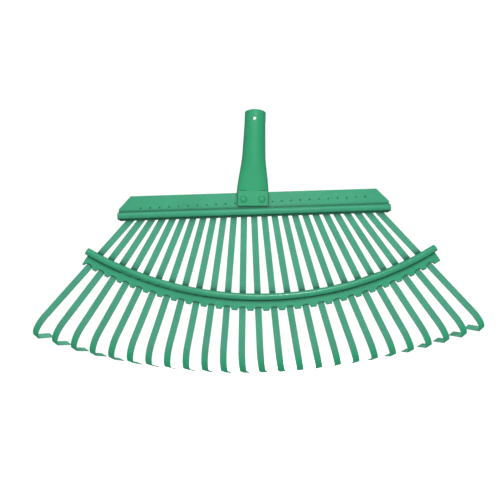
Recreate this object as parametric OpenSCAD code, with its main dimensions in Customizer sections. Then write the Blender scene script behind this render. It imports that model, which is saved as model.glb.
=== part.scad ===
// Steel fan rake head: sprung strip tines clinched into a folded head channel,
// spaced by a curved brace, with a rolled sheet socket riveted on for the handle.
// Frame: origin at the centre of the socket mouth, +X along the head channel,
// +Z up the rake, -Y towards the beads and the rivet heads. The hooks point to +Y.

/* [Tines] */
// Distance between neighbouring tines along the head channel
tine_pitch = 12.7; // [12.4:0.1:13]
// Width of the tine strip
tine_w = 8.6; // [7:0.1:8.6]
// Thickness of the tine strip
tine_t = 0.9; // [0.7:0.05:0.95]
// Straight length below the clinch pin, middle tine
tine_straight = 190.8; // [170:0.2:220]
// Share by which the last tine is longer than the middle one
length_trend = 0.047; // [-0.05:0.001:0.05]
// Share by which the outermost tines on both sides are longer
length_ends = 0.014; // [0:0.002:0.02]
// Strip length above the clinch pin, inside the channel
tine_top = 9; // [8.6:0.1:10]
// Radius of the long bend near the tip
bend_r = 34; // [24:1:45]
// Angle of the long bend
bend_angle = 70; // [60:1:80]
// Radius of the tip bend
tip_r = 5; // [3:0.5:8]
// Angle of the tip bend, middle tine
tip_angle = 15.5; // [8:0.5:20]
// Extra tip bend of the outermost tines
tip_curl = 12; // [0:0.5:12]
// Length of the straight hook
hook_len = 40; // [25:1:50]
// Twist of the strip between the brace and the bend, middle tine
tine_twist = 6.5; // [0:0.5:8]
// Part of the twist that the outermost tines lack
twist_fade = 3.5; // [0:0.5:4]

/* [Fan] */
// Fan angle from the middle tine to the outermost, even spread
fan_spread = 37.8; // [36:0.1:38]
// Extra opening of the fan towards its ends
fan_flare = 2.1; // [0:0.1:2.2]
// Closing of the outermost tines on both sides
fan_skew = 1.5; // [0:0.1:1.6]
// Lean of the whole fan against the head channel
fan_lean = 0.2; // [-1:0.1:1]
// Tilt of the row of clinch pins against the head channel
row_tilt = 1.2; // [-1.2:0.1:1.2]

/* [Head channel] */
// Length over the ends of the bead
channel_len = 368; // [364:1:380]
// Height of the top edges above the middle clinch pin
channel_top = 14.4; // [14:0.1:15]
// Depth of the lower edge below the middle clinch pin
channel_drop = 19.2; // [18:0.1:20]
// Outer radius of the half-round bead
bead_r = 5.2; // [4.8:0.1:5.4]
// Height of the lip between the bead and the lower edge
lip_h = 0.9; // [0.8:0.1:1.5]
// Sheet thickness of the channel and the brace
sheet_t = 1; // [0.8:0.05:1.2]
// Gap between the two walls, filled by the strips
wall_gap = 1; // [1:0.02:1.1]
// Run of the sloping end cut along the channel
end_cut_x = 15.9; // [8:0.1:16]
// Drop of the sloping end cut
end_cut_z = 17.9; // [10:0.1:18]
// Radius of the clinch pin through each strip
pin_r = 1.4; // [1:0.05:1.6]
// Radius of the dimple in front of each clinch pin
dimple_r = 1.1; // [0.9:0.05:1.3]

/* [Spacer brace] */
// Radius of the brace at the middle of its bead
brace_r = 455; // [450:1:460]
// Distance from the middle clinch pin down to the bead of the brace
brace_drop = 128.6; // [124:0.2:133]
// Sideways shift of the brace
brace_shift = 7.2; // [4:0.1:9]
// Half of the angle covered by the brace
brace_half = 30.1; // [29.8:0.1:31]
// Tilt of the brace against the head channel
brace_tilt = 1.4; // [1:0.1:2.2]
// Outer radius of the bead of the brace
brace_bead_r = 5; // [4.2:0.1:5.6]
// Length of bead that stands out past each end of the flange
bead_over = 3.8; // [1:0.1:6]
// Height of the flange below the bead
flange_h = 13; // [12:0.1:15]
// Radius of the scallop where a tine leaves the flange
scallop_r = 6.9; // [6:0.1:7.4]

/* [Handle socket] */
// Inner radius of the socket tube
socket_r = 13.4; // [11.5:0.1:14]
// Sheet thickness of the socket
socket_t = 1.5; // [1.2:0.1:2]
// Length of the round tube below the mouth
tube_len = 20; // [20:1:50]
// Length of the flare between the tube and the foot
flare_len = 96; // [66:1:100]
// Widening of the upper flare, before it opens out to the foot
flare_taper = 3.4; // [1:0.1:5]
// Width of the flat foot
foot_w = 40.5; // [38:0.5:44]
// Height of the flat foot
foot_h = 21.2; // [20:0.1:21.5]
// Turn of the foot against the head channel
foot_turn = 1.8; // [0:0.1:3]
// Width of the open seam at the back of the tube
seam_w = 6; // [4:0.5:8]
// Radius of the screw hole for the handle
screw_r = 2.6; // [2:0.1:3]
// Distance from the mouth to the screw hole
screw_drop = 13; // [10:0.5:18]
// Turn of the screw hole about the tube, away from its front line
screw_turn = 5; // [0:0.5:5]
// Sideways lean of the socket
socket_lean = 4.1; // [0:0.1:4.2]
// Forward bend of the socket above the foot
socket_bend = 4.7; // [0:0.1:8]

/* [Rivets] */
// Distance between the two rivets
rivet_pitch = 25.2; // [24.8:0.1:25.4]
// Radius of the rivet shank
shank_r = 2.3; // [2:0.1:2.4]
// Radius of the domed head
rivet_head_r = 4.8; // [4:0.1:4.8]
// Height of the domed head
rivet_head_h = 1.5; // [1.4:0.1:3]

/* [Output] */
// Sub-part to draw, or all of them

/* [Hidden] */
$fn = 96;
coat = [0.25, 0.64, 0.46];
tines = 25;
middle = 13;
lap = 0.3;
play = 0.05;
side_play = 0.2;

half_gap = wall_gap / 2;
wall_y = half_gap + sheet_t;
wall_span = 4 * wall_y;
button_h = 0.4;
dimple_d = 0.8;
bead_low_z = lip_h - channel_drop;
bead_z = bead_low_z + bead_r;
bead_top_z = bead_z + bead_r;
channel_shift = 1.2;
wall_inset = 0.9;
lip_inset = 2.6;
wall_end = channel_len / 2 - wall_inset;
lip_end = channel_len / 2 - lip_inset;
twist_from = 160;
twist_steps = 4;
bend_steps = 14;
tip_steps = 3;

crest_r = brace_r - brace_bead_r;
crease_r = brace_r + brace_bead_r;
comb_r = crease_r + flange_h;
fold_r = wall_y;
scallop_out = 1.5;
bead_half = brace_half + bead_over / brace_r * 180 / PI;
end_half = 2;
beyond = 60;

tube_r = socket_r + socket_t;
foot_corner = 1;
foot_over = 1.8;
foot_top_z = channel_top + foot_over;
foot_y = -wall_y - socket_t;
foot_x = -0.6;
mouth_h = tube_len + flare_len;
seam_angle = 2 * asin(seam_w / 2 / tube_r);
tube_wrap = 180 - seam_angle / 2;
flare_half_w = 22;
flare_half_d = 8;
flare_wrap = 98;
flare_from = 0.4;
flare_square = 0.75;
flare_lap = 6;
flare_edge = 0.4;
lap_skin = 0.2;
lap_turn = 1.5;
foot_lap = 1.6;
stations = 12;
wraps = 40;
rivet_drop = 12.1;
tail_r = 3.9;
tail_h = 1.3;

rise = tube_r * sin(socket_bend) + mouth_h * cos(socket_bend);
mouth = [foot_x + rise * sin(socket_lean),
    foot_y + tube_r * cos(socket_bend) - mouth_h * sin(socket_bend),
    foot_top_z + rise * cos(socket_lean)];

function share(k) = (k - middle) / (middle - 1);
function fan(k) = fan_lean + fan_spread * share(k) + fan_flare * pow(share(k), 5)
    - fan_skew * pow(share(k), 4);
function pin(k) = tine_pitch * (k - middle) * [1, 0, tan(row_tilt)];
function straight(k) = tine_straight
    * (1 + length_trend * share(k) + length_ends * pow(share(k), 4));
function twist(k) = tine_twist - twist_fade * pow(share(k), 2);
function tip(k) = tip_angle + tip_curl * pow(abs(share(k)), 3);
function riveted(k) = abs(k - middle) == 1;

// Moves from the middle clinch pin to the frame at the socket mouth
module to_mouth() {
    translate(-mouth) children();
}

// Children stand at clinch pin k with -Z along tine k
module at_tine(k) {
    translate(pin(k)) rotate([0, -fan(k), 0]) children();
}

module along_y(r, h) {
    rotate([90, 0, 0]) cylinder(r = r, h = h, center = true);
}

module half_ring(r, t) {
    difference() {
        circle(r);
        circle(r - t);
        translate([0, -2 * r]) square(4 * r);
    }
}

// Solid through a row of rings that runs down; cap_faces closes the first ring,
// and its mirror image the last one
module loft(rings, cap_faces) {
    n = len(rings[0]);
    last = n * (len(rings) - 1);
    side_faces = [for (s = [0:n:last - 1], i = [0:n - 1]) let(j = (i + 1) % n) each [
        [s + i, s + n + j, s + n + i],
        [s + i, s + j, s + n + j]]];
    end_faces = [for (face = cap_faces) [for (i = [len(face) - 1:-1:0]) last + face[i]]];
    polyhedron([for (ring = rings) each ring],
        concat(cap_faces, side_faces, end_faces));
}

// ---- tines ----

// Stations down a strip: [depth, height, bend so far, twist so far]
function along(from, to, steps) = [for (i = [1:steps]) from + (to - from) * i / steps];
function strip_path(length, twist, tip) = let(
    bend_end = [bend_r * (1 - cos(bend_angle)), -length - bend_r * sin(bend_angle)],
    full = bend_angle + tip,
    hook_start = bend_end
        + tip_r * [cos(bend_angle) - cos(full), sin(bend_angle) - sin(full)],
    hook_end = hook_start + hook_len * [sin(full), -cos(full)])
    [
        [0, tine_top, 0, 0],
        [0, -twist_from, 0, 0],
        for (share = along(0, 1, twist_steps))
            [0, -twist_from - share * (length - twist_from), 0, share * twist],
        for (a = along(0, bend_angle, bend_steps))
            [bend_r * (1 - cos(a)), -length - bend_r * sin(a), a, twist],
        for (a = along(bend_angle, full, tip_steps))
            [bend_end[0] + tip_r * (cos(bend_angle) - cos(a)),
                bend_end[1] + tip_r * (sin(bend_angle) - sin(a)), a, twist],
        [hook_end[0], hook_end[1], full, twist]
    ];

// Corner of the section at a station, x across the strip and n through it
function strip_corner(s, x, n) = let(
    y = s[0] + n * cos(s[2]),
    z = s[1] + n * sin(s[2]))
    [x * cos(s[3]) + y * sin(s[3]), y * cos(s[3]) - x * sin(s[3]), z];
function strip_ring(s) = let(w = tine_w / 2, t = tine_t / 2)
    [for (c = [[-w, -t], [w, -t], [w, t], [-w, t]]) strip_corner(s, c[0], c[1])];

module strip(k) {
    loft([for (s = strip_path(straight(k), twist(k), tip(k))) strip_ring(s)],
        [[0, 3, 2, 1]]);
}

module tine(k) {
    color(coat) to_mouth() difference() {
        at_tine(k) strip(k);
        if (riveted(k)) at_rivets() along_y(shank_r + play, wall_span);
        else translate(pin(k)) along_y(pin_r + play, wall_span);
    }
}

module tine_01() { tine(1); }
module tine_02() { tine(2); }
module tine_03() { tine(3); }
module tine_04() { tine(4); }
module tine_05() { tine(5); }
module tine_06() { tine(6); }
module tine_07() { tine(7); }
module tine_08() { tine(8); }
module tine_09() { tine(9); }
module tine_10() { tine(10); }
module tine_11() { tine(11); }
module tine_12() { tine(12); }
module tine_13() { tine(13); }
module tine_14() { tine(14); }
module tine_15() { tine(15); }
module tine_16() { tine(16); }
module tine_17() { tine(17); }
module tine_18() { tine(18); }
module tine_19() { tine(19); }
module tine_20() { tine(20); }
module tine_21() { tine(21); }
module tine_22() { tine(22); }
module tine_23() { tine(23); }
module tine_24() { tine(24); }
module tine_25() { tine(25); }

// ---- head channel ----

// Section of the folded sheet: x is depth, y is height
module channel_section() {
    translate([half_gap, -channel_drop])
        square([sheet_t, channel_drop + channel_top]);
    translate([-wall_y, bead_top_z - sheet_t])
        square([sheet_t, channel_top - bead_top_z + sheet_t]);
    translate([-half_gap, bead_z]) half_ring(bead_r, sheet_t);
    translate([-wall_y, -channel_drop]) square([sheet_t, lip_h + sheet_t]);
    translate([-half_gap - lap, -channel_drop])
        square([wall_gap + 2 * lap, sheet_t]);
}

module channel_outline() {
    half = channel_len / 2;
    low = -channel_drop - 1;
    notch_z = bead_low_z + sheet_t / 2;
    cut_z = channel_top - end_cut_z;
    right = [[lip_end, low], [lip_end, notch_z], [half, notch_z], [half, bead_top_z],
        [wall_end, bead_top_z], [wall_end, cut_z], [wall_end - end_cut_x, channel_top]];
    polygon(concat(right, [for (i = [len(right) - 1:-1:0]) [-right[i][0], right[i][1]]]));
}

// Slot around tine k, between two distances down the tine
module tine_slot(k, from, to) {
    w = tine_w + 2 * side_play;
    at_tine(k) translate([-w / 2, -half_gap, -to]) cube([w, wall_gap, to - from]);
}

module head_channel() {
    color(coat) to_mouth() difference() {
        union() {
            translate([channel_shift, 0, 0]) intersection() {
                rotate([90, 0, 90])
                    linear_extrude(channel_len + 2, center = true) channel_section();
                rotate([90, 0, 0])
                    linear_extrude(beyond, center = true) channel_outline();
            }
            for (k = [1:tines]) if (!riveted(k)) {
                translate(pin(k)) along_y(pin_r, wall_gap + lap);
                translate(pin(k) + [0, wall_y, 0]) along_y(dimple_r, 2 * button_h);
            }
        }
        for (k = [1:tines]) {
            tine_slot(k, pin_r + 2, beyond);
            if (!riveted(k))
                translate(pin(k) - [0, wall_y, 0]) along_y(dimple_r, 2 * dimple_d);
        }
        at_rivets() along_y(shank_r + play, wall_span);
    }
}

// ---- spacer brace ----

// Children stand at the centre of the brace arc, x running down the rake
module at_brace() {
    translate([brace_shift, 0, -brace_drop]) rotate([0, brace_tilt, 0])
        translate([0, 0, brace_r]) rotate([90, 0, 0]) rotate([0, 0, -90]) children();
}

// Section of the folded sheet: x is distance from the arc centre, y is depth
module brace_section() {
    translate([crease_r - sheet_t, half_gap])
        square([comb_r - fold_r - crease_r + sheet_t, sheet_t]);
    translate([crest_r, -wall_y])
        square([comb_r - fold_r - crest_r, sheet_t]);
    translate([crest_r, -half_gap - lap]) square([sheet_t, wall_gap + 2 * lap]);
    translate([brace_r, half_gap]) rotate(-90) half_ring(brace_bead_r, sheet_t);
    translate([comb_r - fold_r, 0]) rotate(180) half_ring(fold_r, sheet_t);
}

// Children swept along the arc of the brace, by half degrees to each side
module brace_arc(half) {
    rotate([0, 0, -half]) rotate_extrude(angle = 2 * half, $fn = 720) children();
}

// Removes the flange under the ends of the bead
module flange_ends() {
    for (side = [-1, 1]) rotate([0, 0, side * (brace_half + end_half)])
        brace_arc(end_half) translate([crease_r - sheet_t / 2, -wall_span / 2])
        square([2 * flange_h, wall_span]);
}

module spacer_brace() {
    color(coat) to_mouth() difference() {
        at_brace() difference() {
            brace_arc(bead_half) brace_section();
            flange_ends();
        }
        for (k = [1:tines]) {
            tine_slot(k, beyond, 5 * beyond);
            at_tine(k) translate([0, 0, -comb_at(k) - scallop_out])
                along_y(scallop_r, wall_span);
        }
    }
}

// Distance from clinch pin k to the comb edge of the brace, along the tine
function brace_centre() = [brace_shift + brace_r * sin(brace_tilt),
    brace_r * cos(brace_tilt) - brace_drop];
function comb_at(k) = ray_to_arc(
    [pin(k)[0] - brace_centre()[0], pin(k)[2] - brace_centre()[1]],
    [sin(fan(k)), -cos(fan(k))]);
function ray_to_arc(p, d) = -(p * d) + sqrt((p * d) ^ 2 - p * p + comb_r ^ 2);

// ---- handle socket ----

// Children stand at the top edge of the foot, +Z up the foot and +Y to the back
module at_foot() {
    translate([foot_x, foot_y, foot_top_z]) rotate([0, foot_turn, 0]) children();
}

// Children stand on the same spot, +Z up the tube
module at_tube() {
    rotate([0, socket_lean - foot_turn, 0]) rotate([socket_bend, 0, 0]) children();
}

module at_rivets() {
    at_foot() for (side = [-1, 1])
        translate([side * rivet_pitch / 2, -foot_y, -rivet_drop]) children();
}

// Rounded lower corners, x is width and y is height below the top edge
module foot_outline() {
    half = foot_w / 2;
    translate([-half, foot_corner - foot_h]) square([foot_w, foot_h - foot_corner]);
    translate([foot_corner - half, -foot_h])
        square([foot_w - 2 * foot_corner, foot_h]);
    for (side = [-1, 1])
        translate([side * (half - foot_corner), foot_corner - foot_h])
            circle(foot_corner);
}

// One point of the flare wall. g runs 0 at the tube to 1 at the foot, a is the wrap
// angle from the front, inset is the distance in from the outer face.
function swell(g) = let(t = max(g - flare_from, 0) / (1 - flare_from)) t * t * (3 - 2 * t);
function blend(from, to, g) = from + (to - from) * swell(g);
function signed_pow(v, e) = sign(v) * pow(abs(v), e);
function flare_point(g, a, inset) = let(
    e = blend(1, flare_square, g),
    w = blend(tube_r, flare_half_w - flare_taper, g) + flare_taper * g - inset,
    d = blend(tube_r, flare_half_d, g) - inset)
    [w * signed_pow(sin(a), e),
        inset + d * (1 - signed_pow(cos(a), e)),
        flare_len - (flare_len + foot_lap) * g];
function flare_ring(g, inset) = let(
    wrap = tube_wrap - lap_turn + (flare_wrap - tube_wrap) * max(g, 0))
    [for (i = [0:wraps]) flare_point(g, wrap * (2 * i / wraps - 1), inset)];
// The first ring stands inside the wall of the tube and the second comes out of it
// just above its end, so the two join without a step in front
function flare_loop(s) = let(
    g = s == 0 ? -flare_lap / flare_len : s == 1 ? -flare_edge / flare_len
        : (s - 1) / stations,
    skin = s == 0 ? lap_skin : s == 1 ? -lap_skin / 2 : 0,
    inner = flare_ring(g, socket_t - (s < 2 ? lap_skin : 0)))
    concat(flare_ring(g, skin), [for (i = [wraps:-1:0]) inner[i]]);

module flare() {
    last = 2 * wraps + 1;
    loft([for (s = [0:stations + 1]) flare_loop(s)],
        [for (i = [0:wraps - 1]) each [
            [i, last - i - 1, i + 1],
            [i, last - i, last - i - 1]]]);
}

module socket_tube() {
    translate([0, tube_r, flare_len])
        rotate([0, 0, 90 + seam_angle / 2])
        rotate_extrude(angle = 360 - seam_angle)
        translate([socket_r, 0]) square([socket_t, tube_len]);
}

module handle_socket() {
    color(coat) to_mouth() at_foot() difference() {
        union() {
            translate([0, socket_t, 0]) rotate([90, 0, 0])
                linear_extrude(socket_t) foot_outline();
            at_tube() {
                flare();
                socket_tube();
            }
        }
        at_tube() translate([0, tube_r, mouth_h - screw_drop]) rotate([0, 0, -screw_turn])
            translate([0, -tube_r, 0]) along_y(screw_r, 2 * socket_r);
        for (side = [-1, 1]) translate([side * rivet_pitch / 2, 0, -rivet_drop])
            along_y(shank_r + play, wall_span);
    }
}

// ---- rivets ----

// Low dome on the plane z = 0, rising to +Z
module dome(r, h) {
    ball_r = (r * r + h * h) / (2 * h);
    intersection() {
        translate([0, 0, h - ball_r]) sphere(ball_r);
        cylinder(r = r, h = 2 * h);
    }
}

module socket_rivets() {
    color(coat) to_mouth() at_rivets() {
        translate([0, foot_y, 0]) rotate([90, 0, 0]) dome(rivet_head_r, rivet_head_h);
        translate([0, (wall_y + foot_y) / 2, 0])
            along_y(shank_r, wall_y - foot_y + lap);
        translate([0, wall_y, 0]) rotate([-90, 0, 0]) dome(tail_r, tail_h);
    }
}

head_channel();
spacer_brace();
handle_socket();
socket_rivets();
tine_01();
tine_02();
tine_03();
tine_04();
tine_05();
tine_06();
tine_07();
tine_08();
tine_09();
tine_10();
tine_11();
tine_12();
tine_13();
tine_14();
tine_15();
tine_16();
tine_17();
tine_18();
tine_19();
tine_20();
tine_21();
tine_22();
tine_23();
tine_24();
tine_25();
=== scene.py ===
"""Looks for a green steel fan rake head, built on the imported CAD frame."""

import math

import bpy
from mathutils import Euler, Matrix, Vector


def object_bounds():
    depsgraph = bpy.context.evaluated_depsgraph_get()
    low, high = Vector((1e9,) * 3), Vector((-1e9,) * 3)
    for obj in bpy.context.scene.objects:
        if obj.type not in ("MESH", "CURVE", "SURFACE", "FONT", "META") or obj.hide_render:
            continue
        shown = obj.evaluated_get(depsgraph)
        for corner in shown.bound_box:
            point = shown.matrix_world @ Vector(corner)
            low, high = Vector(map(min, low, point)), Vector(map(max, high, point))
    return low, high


MM = 0.001

# The camera stands low and looks slightly up, as the photograph was taken.
CAMERA_PLACE = Vector((-28.6, -654.3, -332.0)) * MM
CAMERA_TURN = (101.63, 2.14, -0.75)
CAMERA_LENS = 36
SENSOR_WIDTH = 36

# Powder coat, linear colour: the socket is a little deeper than the strips.
SOCKET_GREEN = (0.026, 0.303, 0.139)
SHEET_GREEN = (0.040, 0.310, 0.167)
STRIP_GREEN = (0.070, 0.312, 0.200)
# Painted light on the strips: a deeper green on the long bend and a paler one on the hook,
# for how light falls on them.
BEND_PAINTED_LIGHT_GREEN = (0.040, 0.385, 0.195)
HOOK_PAINTED_LIGHT_GREEN = (0.150, 0.520, 0.340)

# Depths behind the socket mouth between which a strip takes the painted light of its bend
# and of its hook.
BEND_PAINTED_LIGHT_DEPTHS = (-1.5 * MM, 3 * MM)
HOOK_PAINTED_LIGHT_DEPTHS = (20 * MM, 25 * MM)

# Patterns: noise scale, detail, shift that keeps it off the others, and the noise
# values between which the pattern goes from none to full.
CLOUD = (28, 4, 0, (0.35, 0.65))
GRAIN = (900, 2, 3.1, (0.30, 0.70))
WEAR = (160, 3, 7.7, (0.40, 0.70))
SHEEN = (220, 3, 5.3, (0.30, 0.70))
PEEL = (620, 2, 1.9, (0, 1))
FLOOR_CLOUD = (3, 3, 0, (0.30, 0.70))
SHIFT_WAY = Vector((1, 0.7, 1.3))

# Brightness of the coat against its own colour, for each kind of mark on it.
CLOUD_DEEP = 0.95
CLOUD_LIGHT = 1.04
GRAIN_TONE = 0.80
THIN_TONE = 0.62
THIN_LIFT = 0.012
# Painted shade in gaps and corners, and on faces that look straight down.
PAINTED_SHADE_TONE = 0.05

# How much of the coat the grain covers, and how much of an edge the thin film covers.
GRAIN_COVER = 0.35
THIN_COVER = (0.10, 0.55)

# Rounding of the edges. An edge begins and is complete at these cosines between
# the rounded and the flat normal.
STRIP_EDGE = 0.15 * MM
SHEET_EDGE = 0.3 * MM
SOCKET_EDGE = 0.4 * MM
RIVET_EDGE = 0.2 * MM
EDGE_COSINES = (0.99, 0.80)
BEVEL_SAMPLES = 6

# How far the painted shade of a gap or corner reaches, the openness at which it is full
# and at which it ends, and how much light is left in it.
SOCKET_CREVICE = 2 * MM
SHEET_CREVICE = 5 * MM
STRIP_CREVICE = 13 * MM
CREVICE_OPENNESS = (0.82, 0.98)
CREVICE_LEVEL = 0.38
CREVICE_SAMPLES = 16

# Painted shade: faces of folded sheets that look straight down keep this much of their
# colour.
UNDERSIDE_Z = (-0.97, -0.70)
UNDERSIDE_SHADE_LEVEL = 0.12

# Mirror strength, and roughness with its spread below and above.
SATIN = (0.30, 0.40)
POLISHED = (0.40, 0.22)
MATT = (0.0, 0.40)
ROUGH_SPREAD = (-0.05, 0.07)

# Orange peel of the coat.
PEEL_STRENGTH = 0.12
PEEL_HEIGHT = 0.25 * MM

# Faces that meet below this angle are shaded as one rounded surface.
SHARP_ANGLE = 28
JOIN_GAP = 0.002 * MM

# The floor: as lit, as mirrored in the coat, and its glow towards the camera.
FLOOR_WHITE = (0.80, 0.80, 0.80)
FLOOR_FAINT = 0.98
FLOOR_MIRRORED = (0.04, 0.07, 0.055)
FLOOR_ROUGH = 0.9
FLOOR_GLOW = 0.85
FLOOR_SIZE = 40

# The floor stays this far below the hooks, out of reach of the painted shade of gaps.
FLOOR_DROP = 15 * MM

# World brightness for plain light, for mirrored light and for the camera.
WORLD_LIGHT = 0.36
WORLD_MIRRORED = 0.16
WORLD_SEEN = 1.05

WHITE = (1, 1, 1, 1)

# Lights: name, place against the middle of the rake, size, watts, seen in the coat.
LIGHTS = (
    ("front", (0.15, -1.50, 0.00), 0.60, 11.5, False),
    ("key", (-0.45, -0.80, 1.00), 0.50, 3, True),
    ("lamp", (0.13, -1.15, 0.80), 0.12, 6, True),
    ("rim", (0.20, 1.30, 0.90), 1.00, 10, True),
)


# ---- node helpers ----

def new_material(name):
    mat = bpy.data.materials.new(name)
    mat.use_nodes = True
    tree = mat.node_tree
    tree.nodes.clear()
    out = tree.nodes.new("ShaderNodeOutputMaterial")
    shader = tree.nodes.new("ShaderNodeBsdfPrincipled")
    tree.links.new(shader.outputs["BSDF"], out.inputs["Surface"])
    return mat, tree, shader


def own_place(tree):
    """Place in the part's own frame."""
    return tree.nodes.new("ShaderNodeTexCoord").outputs["Object"]


def remap(tree, value, limits, levels):
    """Levels reached at the two limits, straight in between, held beyond them."""
    node = tree.nodes.new("ShaderNodeMapRange")
    for key, number in zip(("From Min", "From Max", "To Min", "To Max"), (*limits, *levels)):
        node.inputs[key].default_value = number
    tree.links.new(value, node.inputs["Value"])
    return node.outputs["Result"]


def pattern(tree, place, kind, levels=(0, 1)):
    """Levels that follow a noise, fixed in the part's own frame."""
    scale, detail, shift, limits = kind
    move = tree.nodes.new("ShaderNodeMapping")
    move.inputs["Location"].default_value = SHIFT_WAY * shift
    tree.links.new(place, move.inputs["Vector"])
    tex = tree.nodes.new("ShaderNodeTexNoise")
    tex.inputs["Scale"].default_value = scale
    tex.inputs["Detail"].default_value = detail
    tree.links.new(move.outputs["Vector"], tex.inputs["Vector"])
    return remap(tree, tex.outputs["Fac"], limits, levels)


def times(tree, a, b):
    """a times b, where b is a node's value or a plain number."""
    node = tree.nodes.new("ShaderNodeMath")
    node.operation = "MULTIPLY"
    tree.links.new(a, node.inputs[0])
    if isinstance(b, float):
        node.inputs[1].default_value = b
    else:
        tree.links.new(b, node.inputs[1])
    return node.outputs["Value"]


def mix(tree, amount, a, b):
    """Colour a where amount is 0, colour b where it is 1."""
    node = tree.nodes.new("ShaderNodeMix")
    node.data_type = "RGBA"
    tree.links.new(amount, node.inputs["Factor"])
    for socket, colour in ((node.inputs[6], a), (node.inputs[7], b)):
        if isinstance(colour, tuple):
            socket.default_value = (*colour, 1.0)
        else:
            tree.links.new(colour, socket)
    return node.outputs[2]


def toned(colour, tone, lift=0.0):
    return tuple(c * tone + lift for c in colour)


def part_of(tree, vector, axis):
    split = tree.nodes.new("ShaderNodeSeparateXYZ")
    tree.links.new(vector, split.inputs["Vector"])
    return split.outputs[axis]


def rounded_normal(tree, radius):
    soft = tree.nodes.new("ShaderNodeBevel")
    soft.samples = BEVEL_SAMPLES
    soft.inputs["Radius"].default_value = radius
    return soft.outputs["Normal"]


def flat_normal(tree):
    return tree.nodes.new("ShaderNodeNewGeometry").outputs["Normal"]


# ---- the coat ----

def edge_mask(tree, radius):
    """1 on the edges of the sheet, 0 on its faces."""
    dot = tree.nodes.new("ShaderNodeVectorMath")
    dot.operation = "DOT_PRODUCT"
    tree.links.new(rounded_normal(tree, radius), dot.inputs[0])
    tree.links.new(flat_normal(tree), dot.inputs[1])
    return remap(tree, dot.outputs["Value"], EDGE_COSINES, (0, 1))


def painted_crevice_shade(tree, reach):
    """Painted shade: falls below 1 in narrow gaps and corners."""
    near = tree.nodes.new("ShaderNodeAmbientOcclusion")
    near.samples = CREVICE_SAMPLES
    near.inputs["Distance"].default_value = reach
    return remap(tree, near.outputs["AO"], CREVICE_OPENNESS, (CREVICE_LEVEL, 1))


def painted_sheet_shade(tree, reach):
    """Painted shade in crevices, and also on the faces of folded edges that look straight
    down.
    """
    under = remap(tree, part_of(tree, flat_normal(tree), "Z"), UNDERSIDE_Z,
                  (UNDERSIDE_SHADE_LEVEL, 1))
    return times(tree, painted_crevice_shade(tree, reach), under)


def clouded(tree, place, green):
    """Faint mottling between a deeper and a lighter coat."""
    cloud = pattern(tree, place, CLOUD)
    return mix(tree, cloud, toned(green, CLOUD_DEEP), toned(green, CLOUD_LIGHT))


def strip_painted_light(tree, place, green):
    """Painted light: a deeper green on the long bend of a strip and a paler one on its hook,
    for how light falls on them.
    """
    depth = part_of(tree, place, "Y")
    body = clouded(tree, place, green)
    # Painted light: the bend and hook colours are blended in along the strip's depth.
    for depths, there in ((BEND_PAINTED_LIGHT_DEPTHS, BEND_PAINTED_LIGHT_GREEN), (HOOK_PAINTED_LIGHT_DEPTHS, HOOK_PAINTED_LIGHT_GREEN)):
        body = mix(tree, remap(tree, depth, depths, (0, 1)), body, there)
    return body


def marked(tree, place, green, body, edge_radius, shade):
    """Grain, a thinner greyer film on the edges and painted shade in corners over the body.
    """
    grain = pattern(tree, place, GRAIN, (0, GRAIN_COVER))
    body = mix(tree, grain, body, toned(green, GRAIN_TONE))
    thin = times(tree, edge_mask(tree, edge_radius),
                 pattern(tree, place, WEAR, THIN_COVER))
    body = mix(tree, thin, body, toned(green, THIN_TONE, THIN_LIFT))
    # Painted shade: the coat goes dark where the shade mask falls.
    return mix(tree, shade, toned(green, PAINTED_SHADE_TONE), body)


def coat_normal(tree, place, edge_radius):
    """Orange peel over softly rounded edges."""
    bump = tree.nodes.new("ShaderNodeBump")
    bump.inputs["Strength"].default_value = PEEL_STRENGTH
    bump.inputs["Distance"].default_value = PEEL_HEIGHT
    tree.links.new(pattern(tree, place, PEEL), bump.inputs["Height"])
    tree.links.new(rounded_normal(tree, edge_radius), bump.inputs["Normal"])
    return bump.outputs["Normal"]


def powder_coat(name, green, edge_radius, reach, finish, body=clouded, shading=painted_sheet_shade):
    gloss, rough = finish
    mat, tree, shader = new_material(name)
    place = own_place(tree)
    colour = marked(tree, place, green, body(tree, place, green), edge_radius,
                    shading(tree, reach))
    tree.links.new(colour, shader.inputs["Base Color"])
    sheen = pattern(tree, place, SHEEN, [rough + s for s in ROUGH_SPREAD])
    tree.links.new(sheen, shader.inputs["Roughness"])
    shader.inputs["Specular IOR Level"].default_value = gloss
    tree.links.new(coat_normal(tree, place, edge_radius), shader.inputs["Normal"])
    return mat


def strip_coat():
    return powder_coat("strip_coat", STRIP_GREEN, STRIP_EDGE, STRIP_CREVICE, MATT,
                       strip_painted_light, painted_crevice_shade)


def channel_coat():
    return powder_coat("channel_coat", SHEET_GREEN, SHEET_EDGE, SHEET_CREVICE, SATIN)


def brace_coat():
    return powder_coat("brace_coat", SHEET_GREEN, SHEET_EDGE, SHEET_CREVICE, POLISHED)


def socket_coat():
    return powder_coat("socket_coat", SOCKET_GREEN, SOCKET_EDGE, SOCKET_CREVICE, SATIN,
                       shading=painted_crevice_shade)


def rivet_coat():
    return powder_coat("rivet_coat", SOCKET_GREEN, RIVET_EDGE, SHEET_CREVICE, SATIN)


def coat(nodes, names, mat):
    """One material on each node, and smooth shading across its rounded faces."""
    for name in names:
        node = nodes[name]
        node.data.materials.clear()
        node.data.materials.append(mat)
        node.data.shade_smooth()
        join = node.modifiers.new("join_faces", "WELD")
        join.merge_threshold = JOIN_GAP
        split = node.modifiers.new("sharp_edges", "EDGE_SPLIT")
        split.split_angle = math.radians(SHARP_ANGLE)


# ---- stage ----

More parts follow.
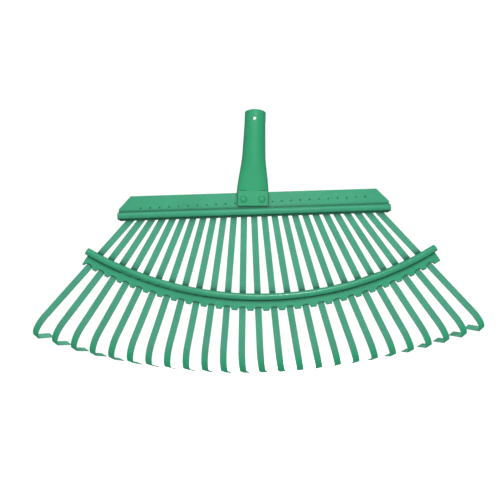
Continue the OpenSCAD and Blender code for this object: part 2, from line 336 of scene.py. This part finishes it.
def floor_material():
    """White to the camera, dull green in the coat."""
    mat, tree, shader = new_material("pale_floor")
    path = tree.nodes.new("ShaderNodeLightPath")
    tone = pattern(tree, own_place(tree), FLOOR_CLOUD)
    white = mix(tree, tone, FLOOR_WHITE, toned(FLOOR_WHITE, FLOOR_FAINT))
    tree.links.new(mix(tree, path.outputs["Is Glossy Ray"], white, FLOOR_MIRRORED),
                   shader.inputs["Base Color"])
    shader.inputs["Roughness"].default_value = FLOOR_ROUGH
    shader.inputs["Emission Color"].default_value = WHITE
    tree.links.new(times(tree, path.outputs["Is Camera Ray"], FLOOR_GLOW),
                   shader.inputs["Emission Strength"])
    return mat


def floor(lowest):
    bpy.ops.mesh.primitive_plane_add(size=FLOOR_SIZE, location=(0, 0, lowest - FLOOR_DROP))
    plane = bpy.context.object
    plane.name = "floor"
    plane.data.materials.append(floor_material())


def area_light(name, place, aim, size, power, mirrored):
    data = bpy.data.lights.new(name, "AREA")
    data.size = size
    data.energy = power
    light = bpy.data.objects.new(name, data)
    light.location = place
    light.rotation_euler = (aim - place).to_track_quat("-Z", "Y").to_euler()
    light.visible_glossy = mirrored
    bpy.context.scene.collection.objects.link(light)


def studio(centre):
    """A broad front light, a softbox above it to the left, a small bright lamp and a rim."""
    for name, offset, size, power, mirrored in LIGHTS:
        area_light(name, centre + Vector(offset), centre, size, power, mirrored)


def white_world():
    """White to the camera, softer as light and softer still in the coat."""
    world = bpy.data.worlds.new("studio")
    bpy.context.scene.world = world
    world.use_nodes = True
    tree = world.node_tree
    sky = tree.nodes["Background"]
    path = tree.nodes.new("ShaderNodeLightPath")
    shown = remap(tree, path.outputs["Is Camera Ray"], (0, 1), (WORLD_LIGHT, WORLD_SEEN))
    mirror = tree.nodes.new("ShaderNodeMath")
    mirror.operation = "MULTIPLY_ADD"
    tree.links.new(path.outputs["Is Glossy Ray"], mirror.inputs[0])
    mirror.inputs[1].default_value = WORLD_MIRRORED - WORLD_LIGHT
    tree.links.new(shown, mirror.inputs[2])
    tree.links.new(mirror.outputs["Value"], sky.inputs["Strength"])
    sky.inputs["Color"].default_value = WHITE


def camera():
    data = bpy.data.cameras.new("photo_camera")
    data.lens = CAMERA_LENS
    data.sensor_width = SENSOR_WIDTH
    cam = bpy.data.objects.new("photo_camera", data)
    cam.location = CAMERA_PLACE
    cam.rotation_euler = Euler([math.radians(a) for a in CAMERA_TURN])
    bpy.context.scene.collection.objects.link(cam)
    bpy.context.scene.camera = cam


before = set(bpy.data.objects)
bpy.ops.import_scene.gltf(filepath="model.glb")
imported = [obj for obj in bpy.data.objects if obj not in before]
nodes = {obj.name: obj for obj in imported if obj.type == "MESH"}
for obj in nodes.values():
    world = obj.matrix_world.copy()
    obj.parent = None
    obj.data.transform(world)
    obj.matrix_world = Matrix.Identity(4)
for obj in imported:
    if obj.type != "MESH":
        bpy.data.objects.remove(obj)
cad_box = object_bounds()

coat(nodes, sorted(n for n in nodes if n.startswith("tine_")), strip_coat())
coat(nodes, ["head_channel"], channel_coat())
coat(nodes, ["spacer_brace"], brace_coat())
coat(nodes, ["handle_socket"], socket_coat())
coat(nodes, ["socket_rivets"], rivet_coat())

floor(cad_box[0].z)
studio((cad_box[0] + cad_box[1]) / 2)
white_world()
camera()
bpy.context.scene.view_settings.view_transform = "Standard"
